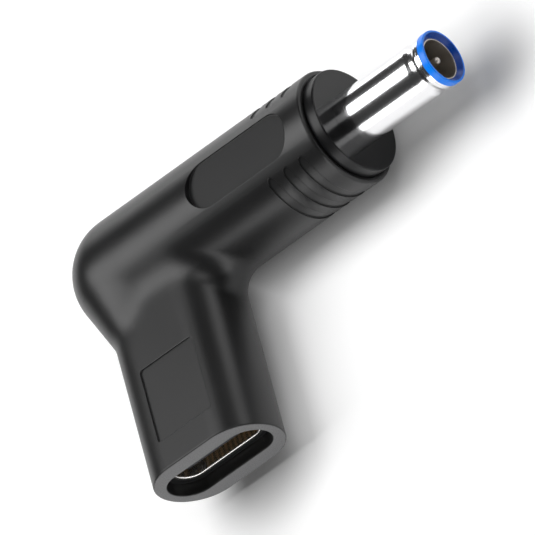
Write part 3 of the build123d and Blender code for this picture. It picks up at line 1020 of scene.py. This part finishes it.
@dataclass
class ContactRow:
    """One row of strips on the tongue, made by Geometry Nodes from a long strip and a short one."""

    name: str
    node: str
    side: int
    count: int = 12
    width: float = 0.25
    thickness: float = 0.15
    surface: float = 0.35
    tail_level: float = 0.4
    short_step: float = 0.3
    nose: float = 0.12
    bend_start: float = 0.3
    bend_end: float = -0.1
    bend_place: float = 10.0
    edge: float = 0.02
    edge_steps: int = 2
    edge_fullness: float = 0.6
    long_gap: int = 3
    smooth_angle: float = 40.0

    def strip(self, label: str, front: float, tail: float) -> bpy.types.Object:
        """Make one strip at the middle of the row.

        Args:
            label: The strip's name.
            front: How far its nose is from the plug's axis, in millimetres.
            tail: How far its tail is from the plug's axis, in millimetres.

        Returns:
            The strip, not linked to the scene.
        """
        inner = self.surface - self.thickness
        bend_front = self.bend_place + self.bend_start
        bend_back = self.bend_place + self.bend_end
        outline = [
            (front, inner),
            (front, self.surface - self.nose / 2),
            (front - self.nose, self.surface),
            (bend_front, self.surface),
            (bend_back, self.tail_level + self.thickness),
            (tail, self.tail_level + self.thickness),
            (tail, self.tail_level),
            (bend_back, self.tail_level),
            (bend_front, inner),
        ]
        form = bmesh.new()
        rings = []
        for x in (-self.width / 2, self.width / 2):
            rings.append([form.verts.new((x * MM, -y * MM, self.side * z * MM)) for y, z in outline])
        count = len(outline)
        form.faces.new(rings[0])
        form.faces.new(list(reversed(rings[1])))
        for number in range(count):
            after = (number + 1) % count
            form.faces.new((rings[0][number], rings[1][number], rings[1][after], rings[0][after]))
        bmesh.ops.recalc_face_normals(form, faces=form.faces)
        bmesh.ops.bevel(
            form,
            geom=form.edges,
            offset=self.edge * MM,
            segments=self.edge_steps,
            affect="EDGES",
            profile=self.edge_fullness,
        )
        mesh = bpy.data.meshes.new(label)
        form.to_mesh(mesh)
        form.free()
        return bpy.data.objects.new(label, mesh)

    def build(self, dresser: Dresser) -> bpy.types.Object:
        """Repeat the strips along the row and put them in their CAD node's place.

        Args:
            dresser: The keeper of the materials.

        Returns:
            The finished row.
        """
        low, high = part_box(self.node)
        first = low.x + self.width * MM / 2
        pitch = (high.x - low.x - self.width * MM) / (self.count - 1)
        front, tail = -low.y / MM, -high.y / MM
        long_strip = self.strip(f"{self.name}_long", front, tail)
        short_strip = self.strip(f"{self.name}_short", front - self.short_step, tail)

        board = TreeBoard(f"{self.name}_row")
        count = board.size("Count", self.count, "Int")
        start = board.size("First", (first, 0.0, 0.0), "Vector")
        step = board.size("Pitch", (pitch, 0.0, 0.0), "Vector")
        half = (self.count - 1) / 2
        middle = board.size("Middle", half, "Float")
        line = board.add("GeometryNodeMeshLine", mode="OFFSET")
        board.join(count, line.inputs["Count"])
        board.join(start, line.inputs["Start Location"])
        board.join(step, line.inputs["Offset"])
        index = board.add("GeometryNodeInputIndex").outputs[0]
        reach = board.maths("ABSOLUTE", board.maths("SUBTRACT", index, middle))
        longer = board.add("FunctionNodeBooleanMath", operation="OR")
        for number, wanted in enumerate((half, half - self.long_gap)):
            board.join(board.equal(reach, wanted), longer.inputs[number])
        shorter = board.add("FunctionNodeBooleanMath", operation="NOT")
        board.join(longer.outputs[0], shorter.inputs[0])
        together = board.add("GeometryNodeJoinGeometry")
        for strip, choice in ((long_strip, longer), (short_strip, shorter)):
            info = board.add("GeometryNodeObjectInfo", transform_space="ORIGINAL")
            board.join(board.size(strip.name, strip, "Object"), info.inputs["Object"])
            copies = board.add("GeometryNodeInstanceOnPoints")
            board.join(line.outputs["Mesh"], copies.inputs["Points"])
            board.join(choice.outputs[0], copies.inputs["Selection"])
            board.join(info.outputs["Geometry"], copies.inputs["Instance"])
            board.join(copies.outputs["Instances"], together.inputs["Geometry"])
        board.finish(together.outputs["Geometry"], dresser.material(CONTACT_GOLD))
        piece = board.bake(self.name, self.smooth_angle)
        for strip in (long_strip, short_strip):
            bpy.data.objects.remove(strip)
        return place_piece(piece, self.node)


@dataclass
class PortSocket:
    """The socket: its shell, tongue, ground band, plate and contacts."""

    rows: tuple[ContactRow, ...] = (
        ContactRow("contacts_upper", "upper_contacts", 1),
        ContactRow("contacts_lower", "lower_contacts", -1),
    )

    def build(self, dresser: Dresser) -> None:
        """Build the contacts and dress the rest.

        Args:
            dresser: The keeper of the materials.
        """
        for row in self.rows:
            row.build(dresser)
        dresser.dress_nodes(
            {
                "socket_shell": SHELL_STEEL,
                "contact_carrier": TONGUE_BLACK,
                "ground_band": SHELL_STEEL,
                "middle_plate": SHELL_STEEL,
            }
        )


@dataclass
class Housing:
    """The black outer moulding and the moulding inside it."""

    finishes: dict[str, Finish] = field(
        default_factory=lambda: {"housing": HOUSING_SATIN, "inner_moulding": INNER_MATTE}
    )

    def build(self, dresser: Dresser) -> None:
        """Dress the two mouldings."""
        dresser.dress_nodes(self.finishes)


@dataclass
class Electronics:
    """The circuit board, what is soldered to it, and the wires to the plug."""

    finishes: dict[str, Finish] = field(
        default_factory=lambda: {
            "circuit_board": BOARD_GREEN,
            "trigger_chip": CHIP_BLACK,
            "switch_chip": CHIP_BLACK,
            "capacitors": CERAMIC_TAN,
            "resistors": CHIP_BLACK,
            "solder_joints": SOLDER_TIN,
            "ground_wire_core": COPPER_STRAND,
            "positive_wire_core": COPPER_STRAND,
            "sense_wire_core": COPPER_STRAND,
            "ground_wire_jacket": JACKET_BLACK,
            "positive_wire_jacket": JACKET_RED,
            "sense_wire_jacket": JACKET_WHITE,
        }
    )

    def build(self, dresser: Dresser) -> None:
        """Dress the board and the wires."""
        dresser.dress_nodes(self.finishes)


@dataclass(frozen=True)
class Softbox:
    """A soft lamp, placed by its direction from the object."""

    name: str
    direction: Point
    distance: float
    width: float
    height: float
    radiance: float
    upright: Point = (1.0, 0.0, 0.0)

    def build(self, target: Vector) -> None:
        """Hang the lamp and turn it to the object.

        Args:
            target: The point that it faces.
        """
        lamp = bpy.data.lights.new(self.name, "AREA")
        lamp.shape = "RECTANGLE"
        lamp.size, lamp.size_y = self.width, self.height
        lamp.energy = self.radiance * math.pi * self.width * self.height
        holder = bpy.data.objects.new(self.name, lamp)
        holder.visible_camera = False
        bpy.context.scene.collection.objects.link(holder)
        away = Vector(self.direction).normalized()
        across = (Vector(self.upright) - away * away.dot(Vector(self.upright))).normalized()
        frame = Matrix((across, away.cross(across), away)).transposed().to_4x4()
        frame.translation = target + away * self.distance
        holder.matrix_world = frame


@dataclass
class Studio:
    """The pale floor, the soft light round the object and the camera."""

    right: Point = (0.6886, -0.2321, -0.6869)
    up: Point = (0.4885, 0.8485, 0.2031)
    back: Point = (0.5358, -0.4756, 0.6977)
    target: Point = (-9.97, -7.92, 2.22)
    field_width: float = 40.32
    lens: float = 1500.0
    sensor: float = 36.0
    clip_shares: tuple[float, float] = (0.1, 4.0)
    sky_level: float = 0.035
    sky_start: float = 0.06
    floor_gap: float = 0.02
    floor_radius: float = 3.0
    floor_sides: int = 96
    floor_colour: float = 0.7
    floor_fill: float = 0.42
    far_start: float = 0.08
    far_end: float = 0.5
    # Painted shadow: the floor's glow fades out within these distances of the arms' axes.
    shade_core: float = 1.5
    shade_reach: float = 8.0
    plug_axis_ends: tuple[float, float] = (-20.95, 9.7)
    port_axis_ends: tuple[float, float] = (-18.5, 0.0)
    lamps: tuple[Softbox, ...] = (
        Softbox("key", (-0.45, 0.148, 0.989), 0.32, 0.34, 0.19, 4.4),
        Softbox("key_end", (0.60, 0.06, 1.0), 0.34, 0.14, 0.14, 2.4),
        Softbox("front", (0.0, -0.978, 0.208), 0.30, 0.50, 0.125, 3.0),
        Softbox("rear", (0.0, 0.984, 0.18), 0.30, 0.46, 0.09, 2.0),
        Softbox("right", (0.76, 0.47, 0.42), 0.30, 0.12, 0.12, 3.0),
    )

    def floor(self) -> bpy.types.Object:
        """Lay the floor under the object's lowest point.

        Returns:
            The floor.
        """
        form = bmesh.new()
        bmesh.ops.create_circle(form, cap_ends=True, segments=self.floor_sides, radius=self.floor_radius)
        mesh = bpy.data.meshes.new("floor")
        level = CAD_BOX[0].z - self.floor_gap * MM
        bmesh.ops.translate(form, verts=form.verts, vec=(0.0, 0.0, level))
        form.to_mesh(mesh)
        form.free()
        floor = bpy.data.objects.new("floor", mesh)
        bpy.context.scene.collection.objects.link(floor)
        mesh.materials.append(self.floor_material())
        return floor

    def glow_with_painted_shadow(self, board: ShaderBoard, place: Socket) -> Socket:
        """Add the floor's glow, which fades out under the two arms, painting a contact shadow there that
        reflections show too.

        Args:
            board: The floor's node tree.
            place: The Object coordinates.

        Returns:
            The glow's socket.
        """
        parts = board.add("ShaderNodeSeparateXYZ")
        board.join(place, parts.inputs[0])
        gaps = []
        for side, other, ends, level in (
            ("X", "Y", self.plug_axis_ends, 0.0),
            ("Y", "X", self.port_axis_ends, self.plug_axis_ends[0]),
        ):
            held = board.add("ShaderNodeClamp")
            held.inputs["Min"].default_value, held.inputs["Max"].default_value = (end * MM for end in ends)
            board.join(parts.outputs[side], held.inputs["Value"])
            near, here = board.add("ShaderNodeCombineXYZ"), board.add("ShaderNodeCombineXYZ")
            near.inputs[other].default_value = level * MM
            board.join(held.outputs["Result"], near.inputs[side])
            board.join(parts.outputs["X"], here.inputs["X"])
            board.join(parts.outputs["Y"], here.inputs["Y"])
            gap = board.add("ShaderNodeVectorMath", operation="DISTANCE")
            board.join(here.outputs[0], gap.inputs[0])
            board.join(near.outputs[0], gap.inputs[1])
            gaps.append(gap.outputs["Value"])
        nearest = board.maths("MINIMUM", *gaps)
        core, reach = self.shade_core * MM, self.shade_reach * MM
        # Painted shadow: the glow drops to nothing close under the arms.
        close = board.ramp(nearest, core, reach, 0.0, self.floor_fill, "SMOOTHSTEP")
        far = board.ramp(nearest, self.far_start, self.far_end, 0.0, 1.0 - self.floor_fill)
        return board.maths("ADD", close, far)

    def floor_material(self) -> bpy.types.Material:
        """Build a pale floor that keeps real shadows, has a painted shadow under the arms and stays white
        further out.

        Returns:
            The floor's material.
        """
        board = ShaderBoard("studio_floor")
        place = board.add("ShaderNodeTexCoord").outputs["Object"]
        path = board.add("ShaderNodeLightPath")
        seen = path.outputs["Is Camera Ray"]
        for name in ("Is Glossy Ray", "Is Transmission Ray"):
            seen = board.maths("MAXIMUM", seen, path.outputs[name])
        strength = board.maths("MULTIPLY", seen, self.glow_with_painted_shadow(board, place))
        glow = board.add("ShaderNodeEmission")
        board.join(strength, glow.inputs["Strength"])
        matte = board.add("ShaderNodeBsdfDiffuse")
        matte.inputs["Color"].default_value = (self.floor_colour,) * 3 + (1.0,)
        both = board.add("ShaderNodeAddShader")
        board.join(matte.outputs[0], both.inputs[0])
        board.join(glow.outputs[0], both.inputs[1])
        out = board.add("ShaderNodeOutputMaterial")
        board.join(both.outputs[0], out.inputs["Surface"])
        return board.material

    def world(self) -> None:
        """Set a world that is white round the horizon and grey above."""
        world = bpy.data.worlds.new("studio")
        bpy.context.scene.world = world
        world.use_nodes = True
        tree = world.node_tree
        place = tree.nodes.new("ShaderNodeTexCoord")
        parts = tree.nodes.new("ShaderNodeSeparateXYZ")
        level = tree.nodes.new("ShaderNodeMapRange")
        level.inputs["From Min"].default_value = 0.0
        level.inputs["From Max"].default_value = self.sky_start
        level.inputs["To Min"].default_value = 1.0
        level.inputs["To Max"].default_value = self.sky_level
        tree.links.new(place.outputs["Generated"], parts.inputs[0])
        tree.links.new(parts.outputs["Z"], level.inputs["Value"])
        tree.links.new(level.outputs["Result"], tree.nodes["Background"].inputs["Strength"])
        tree.nodes["Background"].inputs["Color"].default_value = (1.0, 1.0, 1.0, 1.0)

    def camera(self) -> None:
        """Set up the long-lens camera at the photograph's angle."""
        data = bpy.data.cameras.new("camera")
        data.sensor_width = self.sensor
        data.lens = self.lens
        distance = self.field_width * MM * self.lens / self.sensor
        data.clip_start, data.clip_end = (distance * share for share in self.clip_shares)
        camera = bpy.data.objects.new("camera", data)
        bpy.context.scene.collection.objects.link(camera)
        back = Vector(self.back).normalized()
        right = (Vector(self.right) - back * back.dot(Vector(self.right))).normalized()
        frame = Matrix((right, back.cross(right), back)).transposed().to_4x4()
        frame.translation = Vector(self.target) * MM + back * distance
        camera.matrix_world = frame
        bpy.context.scene.camera = camera

    def build(self) -> None:
        """Build the studio."""
        self.floor()
        self.world()
        self.camera()
        for lamp in self.lamps:
            lamp.build(Vector(self.target) * MM)
        bpy.context.scene.view_settings.view_transform = "Standard"


def main() -> None:
    """Build every sub-assembly in order, then the studio."""
    logging.basicConfig(level=logging.INFO, format="%(name)s %(message)s")
    dresser = Dresser()
    for part in (Housing(), BarrelPlug(), PortSocket(), Electronics()):
        part.build(dresser)
        log.info("finished %s", type(part).__name__)
    Studio().build()


if __name__ == "__main__":
    main()
